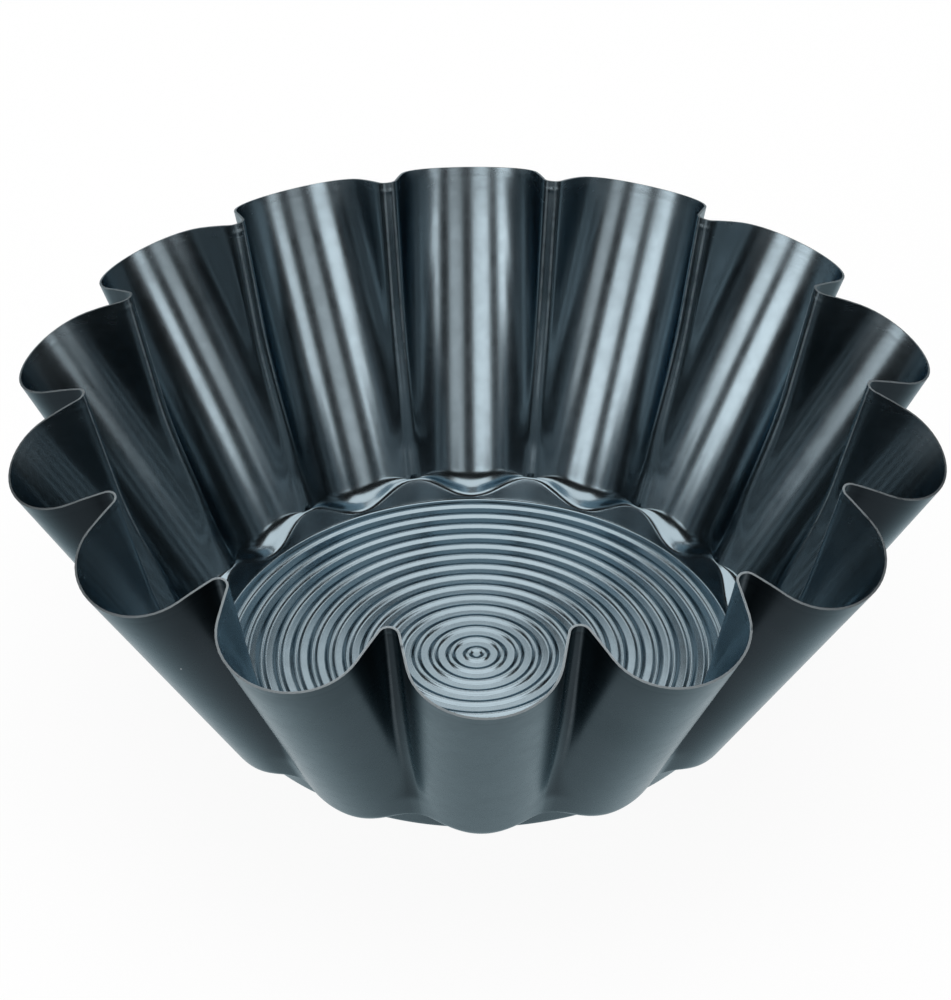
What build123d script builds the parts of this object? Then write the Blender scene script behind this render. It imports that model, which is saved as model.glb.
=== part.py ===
from build123d import *
import os
from math import cos, pi, radians, sin, tan

# A fluted brioche mould, pressed from one sheet of steel, with a non-stick lining on its inside.
# The origin is on the resting plane, on the mould's own axis. +Z points up, out of the open mouth.
# Each layer is the space between two nested cups, which differ only in how far they are set in.

os.makedirs("parts", exist_ok=True)

# The layers: a pressed steel sheet, and the lining baked onto its inside
sheet_thickness = 0.45
lining_thickness = 0.1

# The round dish: flat floor, rounded corner, and a leaning wall that ends in the ridges between flutes
dish_foot = 67.3
dish_lean = 17.5
corner_radius = 6.6
corner_facets = 3

# The flutes: wide round lobes with flat flanks, which lean outwards and rise out of the dish
flute_count = 14
lobe_radius = 17.4
lobe_setback = 1.4
lobe_lean = 32
lobe_start = 3.8
flank_angle = 79.4

# The rim is cut to a great ball centred below the base, so the lobes end lower than the ridges
rim_ball_radius = 241.4
rim_ball_depth = 143.2

# The rings pressed into the floor. The mould stands on the flat band left under the outermost ones
ring_count = 15
band_rings = 1
ring_pitch = 4.2
ring_rise = 0.35

# A lobe faces the front, which is towards -Y
front = -90

# How far a tool body runs past what it cuts
overrun = 5

wall_thickness = sheet_thickness + lining_thickness
lobe_foot = dish_foot - lobe_setback
tool_height = rim_ball_radius - rim_ball_depth


def flute_body(inset):
    """One lobe leaning out along +X, with its two flat flanks, which open towards the axis."""
    lean = radians(lobe_lean)
    flank = radians(flank_angle)
    radius = lobe_radius - inset
    across = Vector(cos(lean), 0, -sin(lean))
    along = Vector(sin(lean), 0, cos(lean))
    centre = Vector(lobe_foot, 0, 0) - across * lobe_radius
    touch = Vector(cos(flank), sin(flank)) * radius
    back = touch + Vector(-sin(flank), cos(flank)) * lobe_foot
    with BuildPart() as flute:
        with BuildSketch(Plane(origin=centre, x_dir=across, z_dir=along)):
            with BuildLine():
                ThreePointArc((touch.X, -touch.Y), (radius, 0), (touch.X, touch.Y))
                Polyline((touch.X, touch.Y), (back.X, back.Y), (back.X, -back.Y), (touch.X, -touch.Y))
            make_face()
        extrude(amount=tool_height / cos(lean) + lobe_radius, both=True)
        split(bisect_by=Plane.XY.offset(lobe_start + inset), keep=Keep.TOP)
        split(bisect_by=Plane.XY.offset(tool_height), keep=Keep.BOTTOM)
        split(bisect_by=Plane.YZ.offset(lobe_radius), keep=Keep.TOP)
    return flute.part


def dish_profile(inset):
    """Half the dish's outline: along the floor, round the corner in flat facets and up the wall."""
    steep = radians(dish_lean)
    turn = (pi / 2 - steep) / (corner_facets + 1)
    reach = (corner_radius - inset) / cos(turn / 2)
    corner_centre = dish_foot - corner_radius * tan((pi / 2 - steep) / 2)
    points = [(0, inset)]
    for facet in range(corner_facets + 1):
        angle = turn * (facet + 1 / 2)
        points.append((corner_centre + reach * sin(angle), corner_radius - reach * cos(angle)))
    wall_foot = points[-1]
    points.append((wall_foot[0] + (tool_height - wall_foot[1]) * tan(steep), tool_height))
    points.append((0, tool_height))
    return points


def cup(inset):
    """The solid inside one surface of the mould, set in by a distance from the outside."""
    flute = flute_body(inset)
    with BuildPart() as body:
        with BuildSketch(Plane.XZ):
            with BuildLine():
                Polyline(*dish_profile(inset), close=True)
            make_face()
        revolve(axis=Axis.Z)
        with PolarLocations(0, flute_count, start_angle=front):
            add(flute)
        with Locations((0, 0, -rim_ball_depth)):
            Sphere(rim_ball_radius, mode=Mode.INTERSECT)
    return body.part


def ring_plate(rings, bottom, level):
    """A round plate with a flat bottom, its top rising from a level to a sharp crest in each ring."""
    points = [(0, bottom), (0, level)]
    for ring in range(rings):
        points.append(((ring + 1 / 2) * ring_pitch, level + ring_rise))
        points.append(((ring + 1) * ring_pitch, level))
    points.append((rings * ring_pitch, bottom))
    with BuildPart() as plate:
        with BuildSketch(Plane.XZ):
            with BuildLine():
                Polyline(*points, close=True)
            make_face()
        revolve(axis=Axis.Z)
    return plate.part


interface = cup(sheet_thickness)

with BuildPart() as pressed_shell:
    add(cup(0))
    add(interface, mode=Mode.SUBTRACT)
    add(ring_plate(ring_count - band_rings, -overrun, 0), mode=Mode.SUBTRACT)
pressed_shell.part.label = "pressed_shell"
export_step(pressed_shell.part, "parts/pressed_shell.step")

with BuildPart() as nonstick_lining:
    add(interface)
    add(cup(wall_thickness), mode=Mode.SUBTRACT)
    add(ring_plate(ring_count, sheet_thickness, wall_thickness))
nonstick_lining.part.label = "nonstick_lining"
export_step(nonstick_lining.part, "parts/nonstick_lining.step")
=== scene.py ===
from math import cos, pi, radians, sin, tan

import bpy
import numpy as np
from mathutils import Matrix, Vector


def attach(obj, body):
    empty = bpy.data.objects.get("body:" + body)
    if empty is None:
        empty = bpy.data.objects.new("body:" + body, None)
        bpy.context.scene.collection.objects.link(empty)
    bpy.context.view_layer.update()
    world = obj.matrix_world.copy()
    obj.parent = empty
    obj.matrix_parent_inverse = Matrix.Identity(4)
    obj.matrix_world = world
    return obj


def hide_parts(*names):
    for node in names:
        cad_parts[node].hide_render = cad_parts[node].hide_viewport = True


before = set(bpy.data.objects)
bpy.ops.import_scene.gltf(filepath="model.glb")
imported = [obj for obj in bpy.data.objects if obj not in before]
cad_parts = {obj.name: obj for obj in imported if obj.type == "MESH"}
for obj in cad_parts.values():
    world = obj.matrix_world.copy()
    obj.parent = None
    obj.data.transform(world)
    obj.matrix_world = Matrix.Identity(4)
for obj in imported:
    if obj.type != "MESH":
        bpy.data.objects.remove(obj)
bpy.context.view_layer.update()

# A fluted brioche mould: a pressed steel sheet, coated slate outside, with a glossy dark lining inside.
# Lengths are in metres. Both layers are offset from one surface, the outside one. It is a grid, with one
# column of points for each azimuth, running from the middle of the floor up to the rim.

# The flutes: round lobes that lean outwards, with flat flanks, and rolled ridges between them
FLUTES = 14
HALF_STEP = pi / FLUTES
FRONT = radians(-90)
LOBE_RADIUS = 0.0174
LOBE_FOOT = 0.0678
LOBE_LEAN = radians(31)
FLANK_ANGLE = radians(81)
RIDGE_RADIUS = 0.0022

# The round dish that the lobes grow out of: a small corner, a leaning foot, and a steeper wall from a bend on
DISH_FOOT = 0.0637
DISH_LEAN = radians(26)
DISH_BEND = 0.014
DISH_UPPER_LEAN = radians(14)
DISH_BLEND = 0.0024
CORNER_RADIUS = 0.0012

# The bowl in which each lobe ends, a little above the floor, and the lip under it. The lip rises and falls
# with the lobe's plan at the bowl's level. The rounding is a power, and the shares keep the bends apart.
BOWL_LEVEL = 0.006
BOWL_RISE = 0.0012
BOWL_SLOPE = tan(radians(10))
BOWL_ROUNDING = 1.8
BOWL_TANGENT = 0.0043
BOWL_TANGENT_SHARE = 0.62
BOWL_LEAST_WIDTH = 0.0003
LIP_TANGENT = 0.0007
LIP_TANGENT_SHARE = 0.3
LIP_RISE_SHARE = 0.35
FOOT_LEAST_HEIGHT = 0.00005

# The rim, cut along an arc turned round the axis, and the collar pressed in just below it. The collar is
# a share as deep on a lobe's crown as on a ridge, and its fading between them is a power.
RIM_ARC_RADIUS = 0.0841
RIM_ARC_CENTRE = 0.0651
COLLAR_BELOW = 0.0021
COLLAR_WIDTH = 0.00045
COLLAR_DEPTH = 0.00012
COLLAR_CROWN_SHARE = 0.08
COLLAR_FADING = 6

# The layers, and the rings pressed into the floor. The crest is a share of the pitch.
SHEET = 0.00045
LINING = 0.0001
RING_PITCH = 0.0042
RING_COUNT = 15
RING_RISE = 0.00055
RING_CREST = 0.58
RING_DISC = 0.0613

# How finely the surfaces are divided. The turn weight is the length that a turn of one radian counts for,
# and the least length keeps a division from being by zero.
SECTION_POINTS = 900
TURN_WEIGHT = 0.012
LEVELS = 140
HEEL_STEPS = 30
HALF_COLUMNS = 18
WALL_ROWS = 56
RIM_BAND = 0.0045
RIM_ROWS = 16
CORNER_ROWS = 5
FOOT_ROWS = 5
LIP_ROWS = 5
BOWL_ROWS = 12
RING_ROWS = 12
LEAST_LENGTH = 1e-12

# The coatings' patterns. A noise has a scale, a detail and a roughness. A range holds the two values of a
# noise between which its effect fades in.
BLOTCH_NOISE = (28.0, 3.0, 0.5)
BLOTCH_RANGE = (0.35, 0.65)
FINE_NOISE = (260.0, 4.0, 0.6)
GRAIN_NOISE = (1500.0, 2.0, 0.5)
GLOSS_RANGE = (0.3, 0.7)
BUMP_DEPTH = 0.000012

# The draw lines, stretched round the mould and strongest near the rim
LINE_STRETCH = (14.0, 14.0, 1300.0)
LINE_NOISE = (1.0, 3.0, 0.6)
LINE_REACH = (0.002, 0.016)
LINE_STRENGTHS = (1.0, 0.12)
LINE_DULLING = 0.10

# Specks of dust, in those cells of a pattern whose own random value is over the threshold. The two sizes,
# between which a speck fades out, are shares of a cell.
DUST_SCALE = 62.0
DUST_SIZE = (0.008, 0.014)
DUST_THRESHOLD = 0.72
DUST_COLOUR = (0.55, 0.58, 0.60, 1)

# The cut edge, which has lost its coating in places
WORN_EDGE = (0.0, 0.00006)
WORN_RAGGED = 0.00024
WORN_SETBACK = -0.00009
WORN_DULLING = 0.2
WORN_COLOUR = (0.17, 0.19, 0.20, 1)

# Painted highlight: pale patchy lines along the two shoulders of each ridge, standing in for the ridges'
# highlights, fading out towards the foot
HIGHLIGHT_SHOULDER = 0.00105
HIGHLIGHT_SHOULDER_WIDTH = (0.00010, 0.00042)
HIGHLIGHT_SHOULDER_FADING = (0.022, 0.050)
PAINTED_HIGHLIGHT_RANGE = (0.25, 0.6)
PAINTED_HIGHLIGHT_STRENGTHS = (0.45, 1.0)
PAINTED_HIGHLIGHT_COLOUR = (0.24, 0.29, 0.32, 1)

# The photograph's camera, with its sensor and lens in millimetres
CAMERA_SENSOR = 36
CAMERA_LENS = 160.8
CAMERA_DISTANCE = 1.0888
CAMERA_ELEVATION = radians(38.66)
CAMERA_PAN = radians(-0.017)
CAMERA_TILT = radians(2.007)
CAMERA_ROLL = radians(0.018)
CAMERA_AZIMUTH = radians(-1.07)

# The studio: how far the floor runs, how much of the white that is seen of it is its own glow, and the
# sines of the two elevations between which the sky darkens
BLACK = (0, 0, 0, 1)
WHITE = (1, 1, 1, 1)
FLOOR_REACH = 12.0
FLOOR_WHITE = 0.94
FLOOR_ROUGHNESS = 0.9
PAPER_NOISE = (6.0, 3.0, 0.5)
PAPER_RANGE = (0.3, 0.7)
PAPER_SHADES = (0.90, 0.92)
SKY_DARKENING = (sin(radians(1)), sin(radians(6)))
SKY_DARK = 0.025

# The lamps: name, azimuth from the camera and elevation in degrees, distance, size, radiance
LAMP_AIM = Vector((0, 0, 0.04))
LAMPS = [
    ("left_strip", -19, 25, 1.5, (0.66, 0.48), 3.9),
    ("right_strip", 25, 25, 1.5, (0.54, 0.46), 2.0),
    ("right_low", 40, 6, 1.5, (0.60, 0.22), 1.0),
    ("right_side", 63, 22, 1.5, (0.40, 0.42), 3.3),
    ("left_side", -64, 22, 1.5, (0.72, 0.42), 4.2),
    ("overhead", 180, 84, 1.3, (1.6, 1.0), 2.95),
    ("back_soft", 180, 45, 1.5, (1.8, 0.6), 2.3),
]


def circle_reach(azimuth, centre, radius, side):
    """Distance from the axis to the far side (1) or near side (-1) of a circle centred at azimuth 0."""
    half_chord = np.sqrt(np.maximum(radius ** 2 - (centre * np.sin(azimuth)) ** 2, 0))
    return centre * np.cos(azimuth) + side * half_chord


def flute_radius(azimuth, height):
    """Distance of the fluted wall from the axis, at azimuths from 0 on a lobe's crown to half a step."""
    centre = LOBE_FOOT + height * tan(LOBE_LEAN) - LOBE_RADIUS
    reach = LOBE_RADIUS + RIDGE_RADIUS
    flank = FLANK_ANGLE
    ridge_centre = (centre * cos(flank) + reach) / cos(flank - HALF_STEP)
    if ridge_centre * sin(HALF_STEP) <= reach * sin(flank):
        # There is no room for a flat flank, so the lobe runs straight into the ridge
        ridge_centre = centre * cos(HALF_STEP) + np.sqrt(reach ** 2 - (centre * sin(HALF_STEP)) ** 2)
        flank = np.arctan2(ridge_centre * sin(HALF_STEP), ridge_centre * cos(HALF_STEP) - centre)
    lobe_end = np.arctan2(LOBE_RADIUS * sin(flank), centre + LOBE_RADIUS * cos(flank))
    ridge_start = np.arctan2(
        ridge_centre * sin(HALF_STEP) - RIDGE_RADIUS * sin(flank),
        ridge_centre * cos(HALF_STEP) - RIDGE_RADIUS * cos(flank),
    )
    lobe = circle_reach(np.clip(azimuth, 0, lobe_end), centre, LOBE_RADIUS, 1)
    side = (centre * cos(flank) + LOBE_RADIUS) / np.cos(azimuth - flank)
    from_ridge = np.clip(HALF_STEP - azimuth, 0, HALF_STEP - ridge_start)
    ridge = circle_reach(from_ridge, ridge_centre, RIDGE_RADIUS, -1)
    return np.where(azimuth < lobe_end, lobe, np.where(azimuth < ridge_start, side, ridge))


def dish_radius(height):
    """Radius of the round dish at a height."""
    below_bend = np.minimum(height, DISH_BEND) * tan(DISH_LEAN)
    above_bend = np.maximum(height - DISH_BEND, 0) * tan(DISH_UPPER_LEAN)
    return DISH_FOOT + below_bend + above_bend


def smooth_max(a, b, width):
    """The larger of two lengths, rounded off where they meet."""
    near = np.maximum(width - np.abs(a - b), 0) / width
    return np.maximum(a, b) + near ** 2 * width / 4


def section(height):
    """Azimuths and radii of half a flute at one height, closest together where it bends most."""
    fine = np.linspace(0, HALF_STEP, SECTION_POINTS)
    radius = smooth_max(flute_radius(fine, height), dish_radius(height), DISH_BLEND)
    x = radius * np.cos(fine)
    y = radius * np.sin(fine)
    step = np.hypot(np.diff(x), np.diff(y))
    heading = np.unwrap(np.arctan2(np.diff(y), np.diff(x)))
    turn = np.abs(np.diff(heading, prepend=heading[0]))
    weight = np.concatenate([[0], np.cumsum(step + turn * TURN_WEIGHT)])
    at = np.interp(np.linspace(0, weight[-1], HALF_COLUMNS + 1), weight, fine)
    return at, np.interp(at, fine, radius)


def wall_curves():
    """The levels, and for each column of half a flute its azimuth and radius at every level."""
    levels = np.linspace(0, RIM_ARC_RADIUS, LEVELS)
    pairs = [section(level) for level in levels]
    azimuths = np.array([pair[0] for pair in pairs]).T
    radii = np.array([pair[1] for pair in pairs]).T
    return levels, azimuths, radii


def ring_height(radius):
    """Height of the pressed rings: broad valleys and narrow crests."""
    from_middle = np.abs(radius / RING_PITCH % 1 - 0.5) * 2
    crest = np.clip(1 - from_middle / RING_CREST, 0, 1)
    wave = crest ** 2 * (3 - 2 * crest)
    return RING_RISE * np.where(radius > RING_DISC, 0, wave)


def bend(start, corner, end, rows):
    """Points of a smooth bend from one point to another round a corner, without the first."""
    t = np.linspace(0, 1, rows + 1)[1:, None]
    return (1 - t) ** 2 * start + 2 * t * (1 - t) * corner + t ** 2 * end


def lip_and_heel(levels, radius, crown, ridge):
    """One column's lip, and the heel where the bowl's sloping ground would meet the lobe's wall."""
    crown_r, here_r, ridge_r = (np.interp(BOWL_LEVEL, levels, curve) for curve in (crown, radius, ridge))
    share = (here_r - ridge_r) / (crown_r - ridge_r)
    rise = BOWL_RISE + (crown_r - ridge_r) * (1 - share ** BOWL_ROUNDING)
    lip_r = dish_radius(rise)
    height = rise
    # The wall leans away as the ground rises to it, so the height where they meet is found step by step
    for _ in range(HEEL_STEPS):
        height = rise + max(np.interp(height, levels, radius) - lip_r, 0) * BOWL_SLOPE
    heel_r = max(np.interp(height, levels, radius), lip_r + BOWL_LEAST_WIDTH)
    return np.array([lip_r, rise]), np.array([heel_r, height])


def column_foot(levels, radius, crown, ridge):
    """Points of one column's foot: corner, steep foot, lip and bowl, and the height where its wall begins."""
    lip, heel = lip_and_heel(levels, radius, crown, ridge)
    gap = np.linalg.norm(heel - lip)
    inward = (lip - heel) / gap
    bowl_reach = min(BOWL_TANGENT, gap * BOWL_TANGENT_SHARE)
    lip_reach = min(LIP_TANGENT, gap * LIP_TANGENT_SHARE, lip[1] * LIP_RISE_SHARE)
    wall_start = heel[1] + bowl_reach * cos(LOBE_LEAN)
    on_wall = np.array([np.interp(wall_start, levels, radius), wall_start])
    on_ground = heel + inward * bowl_reach
    steep = np.array([sin(DISH_LEAN), cos(DISH_LEAN)])
    corner_reach = CORNER_RADIUS * tan((pi / 2 - DISH_LEAN) / 2)
    corner = np.array([DISH_FOOT, 0.0])
    on_floor = corner - (corner_reach, 0)
    above_corner = corner + steep * corner_reach
    below_lip = lip - steep * lip_reach
    if below_lip[1] < above_corner[1] + FOOT_LEAST_HEIGHT:
        below_lip = above_corner + steep * FOOT_LEAST_HEIGHT
    parts = [
        on_floor[None],
        bend(on_floor, corner, above_corner, CORNER_ROWS),
        above_corner + (below_lip - above_corner) * np.linspace(0, 1, FOOT_ROWS + 1)[1:, None],
        bend(below_lip, lip, lip - inward * lip_reach, LIP_ROWS),
        on_ground[None],
        bend(on_ground, heel, on_wall, BOWL_ROWS),
    ]
    return np.concatenate(parts), wall_start


def meridian(levels, azimuth, radius, crown, ridge):
    """One column of the outside surface from the middle of the floor up to the rim."""
    foot, wall_start = column_foot(levels, radius, crown, ridge)
    past_cut = np.hypot(radius - RIM_ARC_CENTRE, levels) - RIM_ARC_RADIUS
    first = np.argmax(past_cut > 0)
    rim = np.interp(0, past_cut[first - 1:first + 1], levels[first - 1:first + 1])
    low = np.linspace(wall_start, rim - RIM_BAND, WALL_ROWS + 1)[1:]
    high = np.linspace(rim - RIM_BAND, rim, RIM_ROWS + 1)[1:]
    wall_z = np.concatenate([low, high])
    towards_ridge = (np.interp(wall_z, levels, azimuth) / HALF_STEP) ** COLLAR_FADING
    share = COLLAR_CROWN_SHARE + (1 - COLLAR_CROWN_SHARE) * towards_ridge
    collar = COLLAR_DEPTH * share * np.exp(-(((rim - wall_z - COLLAR_BELOW) / COLLAR_WIDTH) ** 2))
    wall_r = np.interp(wall_z, levels, radius) - collar
    floor_r = np.linspace(0, RING_DISC, RING_COUNT * RING_ROWS + 1)
    z = np.concatenate([ring_height(floor_r), foot[:, 1], wall_z])
    r = np.concatenate([floor_r, foot[:, 0], wall_r])
    turned = np.interp(z, levels, azimuth)
    turned[:len(floor_r)] = azimuth[0]
    return turned, r, z


def outside_surface():
    """Grid of points, one row per column of the mould, each from the floor's middle to the rim."""
    levels, azimuths, radii = wall_curves()
    half = [meridian(levels, azimuths[k], radii[k], radii[0], radii[-1]) for k in range(HALF_COLUMNS + 1)]
    columns = []
    for flute in range(FLUTES):
        middle = FRONT + 2 * HALF_STEP * flute
        for k in range(-HALF_COLUMNS, HALF_COLUMNS):
            turned, r, z = half[abs(k)]
            angle = middle + np.sign(k) * turned
            columns.append(np.stack([r * np.cos(angle), r * np.sin(angle), z], axis=1))
    return np.array(columns)


def grid_normals(grid):
    """Outward normals of the grid's points."""
    around = np.roll(grid, -1, axis=0) - np.roll(grid, 1, axis=0)
    along = np.gradient(grid, axis=1)
    normal = np.cross(around, along)
    length = np.linalg.norm(normal, axis=2, keepdims=True)
    normal = normal / np.maximum(length, LEAST_LENGTH)
    normal[:, 0] = (0, 0, -1)
    return normal


def layer_faces(columns, rows):
    """Faces of a closed layer, whose points are the outer grid's, the inner grid's, then the two middles."""
    inner = columns * rows
    first = np.arange(columns) * rows
    next_first = np.roll(first, -1)
    last = first + rows - 1
    next_last = np.roll(last, -1)
    here = first[:, None] + np.arange(rows - 1)
    beside = np.roll(here, -1, axis=0)
    quads = np.stack([here, beside, beside + 1, here + 1], axis=2).reshape(-1, 4)
    rim = np.stack([last, next_last, next_last + inner, last + inner], axis=1)
    outer_fan = np.stack([next_first, first, np.full(columns, 2 * inner)], axis=1)
    inner_fan = np.stack([first + inner, next_first + inner, np.full(columns, 2 * inner + 1)], axis=1)
    grids = np.concatenate([quads, quads[:, ::-1] + inner, rim])
    return grids.tolist() + outer_fan.tolist() + inner_fan.tolist(), np.concatenate([last, last + inner])


def layer(name, grid, normal, near, far):
    """A closed layer between two depths below the outside surface, with sharp edges along its cut rim."""
    outer = grid - normal * near
    inner = grid - normal * far
    middles = [outer[0, 0], inner[0, 0]]
    points = np.concatenate([outer[:, 1:].reshape(-1, 3), inner[:, 1:].reshape(-1, 3), middles])
    faces, rim_points = layer_faces(grid.shape[0], grid.shape[1] - 1)
    mesh = bpy.data.meshes.new(name)
    mesh.from_pydata(points.tolist(), [], faces)
    mesh.update()
    mesh.shade_smooth()
    ends = np.zeros(len(mesh.edges) * 2, dtype=np.int32)
    mesh.edges.foreach_get("vertices", ends)
    sharp = mesh.attributes.new("sharp_edge", "BOOLEAN", "EDGE")
    sharp.data.foreach_set("value", np.isin(ends.reshape(-1, 2), rim_points).all(axis=1))
    piece = bpy.data.objects.new(name, mesh)
    bpy.context.scene.collection.objects.link(piece)
    return piece


def add(tree, kind, inputs=None, **settings):
    """A new shader node with its settings, and its inputs set to values or linked to sockets."""
    node = tree.nodes.new(kind)
    for key, value in settings.items():
        setattr(node, key, value)
    for key, value in (inputs or {}).items():
        if isinstance(value, bpy.types.NodeSocket):
            tree.links.new(value, node.inputs[key])
        else:
            node.inputs[key].default_value = value
    return node


def maths(tree, operation, a, b=0.0, clamp=False):
    """The result of one sum, held between 0 and 1 where it is clamped."""
    return add(tree, "ShaderNodeMath", {0: a, 1: b}, operation=operation, use_clamp=clamp).outputs[0]


def times(tree, a, b):
    """The product of two values."""
    return maths(tree, "MULTIPLY", a, b)


def diagonal(tree, a, b):
    """Length of the diagonal between two sides at a right angle."""
    squares = maths(tree, "ADD", maths(tree, "POWER", a, 2.0), maths(tree, "POWER", b, 2.0))
    return maths(tree, "SQRT", squares)


def span(tree, value, source, target=(0.0, 1.0)):
    """A value mapped smoothly from one range to another, and held outside it."""
    inputs = {"Value": value, "From Min": source[0], "From Max": source[1]}
    inputs |= {"To Min": target[0], "To Max": target[1]}
    return add(tree, "ShaderNodeMapRange", inputs, interpolation_type="SMOOTHSTEP").outputs[0]


def noise(tree, where, scale, detail, roughness):
    """A noise pattern's value."""
    inputs = {"Vector": where, "Scale": scale, "Detail": detail, "Roughness": roughness}
    return add(tree, "ShaderNodeTexNoise", inputs).outputs[0]


def blend(tree, share, a, b):
    """A colour between two, by a share."""
    return add(tree, "ShaderNodeMix", {0: share, 6: a, 7: b}, data_type="RGBA").outputs[2]


def rim_distance(tree, where):
    """How far a point is below the cut rim, whose edge lies on an arc turned round the axis."""
    x, y, z = add(tree, "ShaderNodeSeparateXYZ", {0: where}).outputs
    reach = maths(tree, "SUBTRACT", diagonal(tree, x, y), RIM_ARC_CENTRE)
    return maths(tree, "SUBTRACT", RIM_ARC_RADIUS, diagonal(tree, reach, z))


def ridge_highlight_lines(tree, where):
    """The painted highlight lines: 1 along the two shoulders of each ridge, fading out to the sides and
    towards the foot.
    """
    x, y, z = add(tree, "ShaderNodeSeparateXYZ", {0: where}).outputs
    # Two whole turns are added, so that the azimuth from the front is never negative
    azimuth = maths(tree, "ADD", maths(tree, "ARCTAN2", y, x), 4 * pi - FRONT)
    from_ridge = maths(tree, "SUBTRACT", HALF_STEP, maths(tree, "PINGPONG", azimuth, HALF_STEP))
    away = times(tree, from_ridge, diagonal(tree, x, y))
    off_line = maths(tree, "ABSOLUTE", maths(tree, "SUBTRACT", away, HIGHLIGHT_SHOULDER))
    highlight_line = span(tree, off_line, HIGHLIGHT_SHOULDER_WIDTH, (1.0, 0.0))
    return times(tree, highlight_line, span(tree, z, HIGHLIGHT_SHOULDER_FADING))


def draw_lines(tree, where, below_rim):
    """The fine lines left by drawing the sheet, strongest near the rim."""
    stretched = add(tree, "ShaderNodeMapping", {"Vector": where, "Scale": LINE_STRETCH}).outputs[0]
    return times(tree, noise(tree, stretched, *LINE_NOISE), span(tree, below_rim, LINE_REACH, LINE_STRENGTHS))


def dust_specks(tree, where):
    """1 on a speck of dust, in a few of the cells."""
    cells = add(tree, "ShaderNodeTexVoronoi", {"Vector": where, "Scale": DUST_SCALE}).outputs
    speck = span(tree, cells["Distance"], DUST_SIZE, (1.0, 0.0))
    random_value = add(tree, "ShaderNodeSeparateXYZ", {0: cells["Color"]}).outputs[0]
    return times(tree, speck, maths(tree, "GREATER_THAN", random_value, DUST_THRESHOLD))


def worn_edge(tree, fine, below_rim):
    """1 where the cut edge has lost its coating, with a ragged border."""
    ragged = maths(tree, "ADD", times(tree, fine, WORN_RAGGED), WORN_SETBACK)
    return span(tree, maths(tree, "SUBTRACT", below_rim, ragged), WORN_EDGE, (1.0, 0.0))


def coating(name, dark, pale, edge_tint, roughness, peel, line_depth, highlight_strength):
    """A baked coating on steel: mottled colour, dust, a worn edge, painted highlight lines on the ridges,
    uneven gloss, orange peel and draw lines.
    """
    material = bpy.data.materials.new(name)
    material.use_nodes = True
    tree = material.node_tree
    surface = tree.nodes["Principled BSDF"].inputs
    where = add(tree, "ShaderNodeTexCoord").outputs["Object"]
    below_rim = rim_distance(tree, where)
    fine = noise(tree, where, *FINE_NOISE)
    lines = draw_lines(tree, where, below_rim)
    dust = dust_specks(tree, where)
    worn = worn_edge(tree, fine, below_rim)
    # Painted highlight: pale patchy lines along the ridges' shoulders, where the ridges' highlights fall
    highlight_patches = span(tree, fine, PAINTED_HIGHLIGHT_RANGE, PAINTED_HIGHLIGHT_STRENGTHS)
    painted_highlight = times(tree, times(tree, ridge_highlight_lines(tree, where), highlight_patches), highlight_strength)

    colour = blend(tree, span(tree, noise(tree, where, *BLOTCH_NOISE), BLOTCH_RANGE), dark, pale)
    colour = blend(tree, dust, colour, DUST_COLOUR)
    colour = blend(tree, worn, colour, WORN_COLOUR)
    # The painted highlight lines along the ridges go over everything else
    colour = blend(tree, painted_highlight, colour, PAINTED_HIGHLIGHT_COLOUR)
    tree.links.new(colour, surface["Base Color"])
    # The dust and the painted highlight lines are not metallic
    dust_and_highlight = maths(tree, "ADD", painted_highlight, dust)
    tree.links.new(maths(tree, "SUBTRACT", 1.0, dust_and_highlight, True), surface["Metallic"])
    surface["Specular Tint"].default_value = edge_tint

    gloss = maths(tree, "ADD", span(tree, fine, GLOSS_RANGE, roughness), times(tree, lines, LINE_DULLING))
    gloss = maths(tree, "ADD", gloss, times(tree, worn, WORN_DULLING), True)
    tree.links.new(gloss, surface["Roughness"])

    grain = maths(tree, "ADD", noise(tree, where, *GRAIN_NOISE), fine)
    height = maths(tree, "ADD", times(tree, grain, peel), times(tree, lines, line_depth))
    bump = add(tree, "ShaderNodeBump", {"Strength": 1.0, "Distance": BUMP_DEPTH, "Height": height})
    tree.links.new(bump.outputs[0], surface["Normal"])
    return material


def slate_coating():
    """The satin coating of the outside."""
    return coating(
        "slate_coating",
        dark=(0.016, 0.021, 0.025, 1),
        pale=(0.022, 0.028, 0.033, 1),
        edge_tint=(0.80, 0.94, 1.0, 1),
        roughness=(0.25, 0.28),
        peel=0.06,
        line_depth=0.1,
        # The painted highlight lines along the ridges are faint on the outside
        highlight_strength=0.1,
    )


def dark_lining():
    """The glossy non-stick lining of the inside."""
    return coating(
        "dark_lining",
        dark=(0.145, 0.180, 0.200, 1),
        pale=(0.162, 0.200, 0.222, 1),
        edge_tint=(0.62, 0.77, 0.86, 1),
        roughness=(0.18, 0.22),
        peel=0.25,
        line_depth=0.5,
        # The painted highlight lines along the ridges are strongest on the lining
        highlight_strength=0.6,
    )


def build_mould():
    """The two layers of the mould, each in place of its CAD node."""
    grid = outside_surface()
    normal = grid_normals(grid)
    shell = layer("mould_shell", grid, normal, 0, SHEET)
    lining = layer("mould_lining", grid, normal, SHEET, SHEET + LINING)
    shell.data.materials.append(slate_coating())
    lining.data.materials.append(dark_lining())
    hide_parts("pressed_shell")
    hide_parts("nonstick_lining")
    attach(shell, "root")
    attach(lining, "root")


def seen(tree):
    """1 for what the camera, metal or glass sees of a surface, and 0 where it lights the object."""
    path = add(tree, "ShaderNodeLightPath").outputs
    direct = maths(tree, "ADD", path["Is Camera Ray"], path["Is Glossy Ray"])
    return maths(tree, "ADD", direct, path["Is Transmission Ray"], True)


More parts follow.
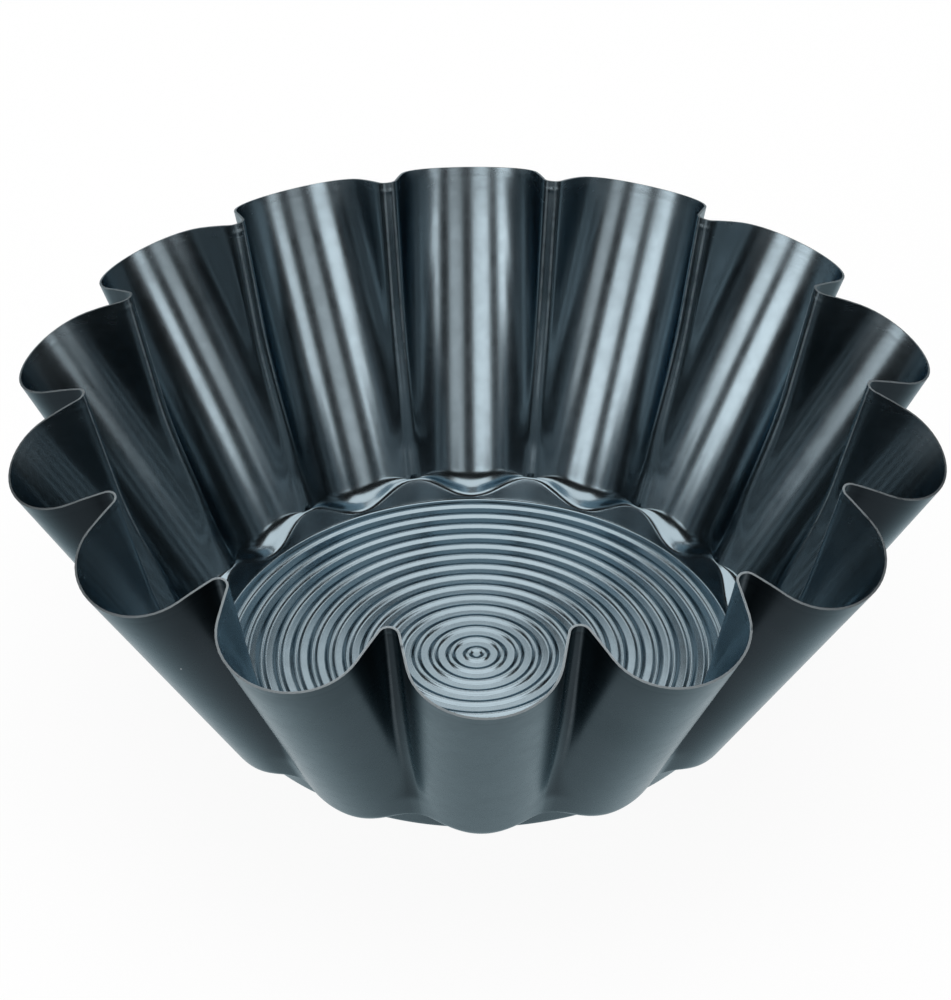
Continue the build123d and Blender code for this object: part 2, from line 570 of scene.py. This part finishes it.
def build_floor():
    """A pale floor that runs far out, white to the camera and in reflections, with the shadow kept."""
    corners = [(x * FLOOR_REACH, y * FLOOR_REACH, 0) for x, y in ((-1, -1), (1, -1), (1, 1), (-1, 1))]
    mesh = bpy.data.meshes.new("floor")
    mesh.from_pydata(corners, [], [(0, 1, 2, 3)])
    floor = bpy.data.objects.new("floor", mesh)
    bpy.context.scene.collection.objects.link(floor)
    material = bpy.data.materials.new("floor_white")
    material.use_nodes = True
    tree = material.node_tree
    surface = tree.nodes["Principled BSDF"]
    where = add(tree, "ShaderNodeTexCoord").outputs["Object"]
    paper = span(tree, noise(tree, where, *PAPER_NOISE), PAPER_RANGE, PAPER_SHADES)
    tree.links.new(blend(tree, paper, BLACK, WHITE), surface.inputs["Base Color"])
    surface.inputs["Roughness"].default_value = FLOOR_ROUGHNESS
    surface.inputs["Specular IOR Level"].default_value = 0.0
    glow = add(tree, "ShaderNodeEmission", {"Color": WHITE, "Strength": 1.0})
    share = times(tree, seen(tree), FLOOR_WHITE)
    mix = add(tree, "ShaderNodeMixShader", {0: share, 1: surface.outputs[0], 2: glow.outputs[0]})
    tree.links.new(mix.outputs[0], tree.nodes["Material Output"].inputs["Surface"])
    floor.data.materials.append(material)


def build_lamp(name, azimuth, elevation, distance, size, radiance):
    """A rectangular soft lamp in a direction from the mould, with azimuth 0 over the camera."""
    light = bpy.data.lights.new(name, "AREA")
    light.shape = "RECTANGLE"
    light.size, light.size_y = size
    light.energy = radiance * pi * size[0] * size[1]
    lamp = bpy.data.objects.new(name, light)
    bpy.context.scene.collection.objects.link(lamp)
    turn = radians(azimuth)
    height = radians(elevation)
    lamp.location = Vector((cos(height) * sin(turn), -cos(height) * cos(turn), sin(height))) * distance
    lamp.rotation_euler = (LAMP_AIM - lamp.location).to_track_quat("-Z", "Y").to_euler()


def build_world():
    """A sky that is white for the camera and at the horizon, and dark above it as in a studio."""
    world = bpy.data.worlds.new("surround")
    bpy.context.scene.world = world
    world.use_nodes = True
    tree = world.node_tree
    sky = tree.nodes["Background"]
    direction = add(tree, "ShaderNodeTexCoord").outputs["Generated"]
    up = add(tree, "ShaderNodeSeparateXYZ", {0: direction}).outputs[2]
    level = span(tree, up, SKY_DARKENING, (1.0, SKY_DARK))
    level = maths(tree, "MAXIMUM", level, add(tree, "ShaderNodeLightPath").outputs["Is Camera Ray"])
    sky.inputs["Color"].default_value = WHITE
    tree.links.new(level, sky.inputs["Strength"])


def build_camera():
    """The photograph's camera, as it was fitted to the rim, the lobes and the floor's rings."""
    place = Vector((0, -cos(CAMERA_ELEVATION), sin(CAMERA_ELEVATION))) * CAMERA_DISTANCE
    down = CAMERA_ELEVATION - CAMERA_TILT
    forward = Vector((sin(CAMERA_PAN) * cos(down), cos(CAMERA_PAN) * cos(down), -sin(down)))
    right = forward.cross(Vector((0, 0, 1))).normalized()
    up = right.cross(forward)
    side = right * cos(CAMERA_ROLL) + up * sin(CAMERA_ROLL)
    head = up * cos(CAMERA_ROLL) - right * sin(CAMERA_ROLL)
    lens = bpy.data.cameras.new("photo_camera")
    lens.lens = CAMERA_LENS
    lens.sensor_width = CAMERA_SENSOR
    lens.sensor_fit = "AUTO"
    camera = bpy.data.objects.new("photo_camera", lens)
    bpy.context.scene.collection.objects.link(camera)
    rows = [(side[k], head[k], -forward[k], place[k]) for k in range(3)]
    camera.matrix_world = Matrix.Rotation(CAMERA_AZIMUTH, 4, "Z") @ Matrix([*rows, (0, 0, 0, 1)])
    bpy.context.scene.camera = camera


build_mould()
build_floor()
for row in LAMPS:
    build_lamp(*row)
build_world()
build_camera()
bpy.context.scene.view_settings.view_transform = "Standard"
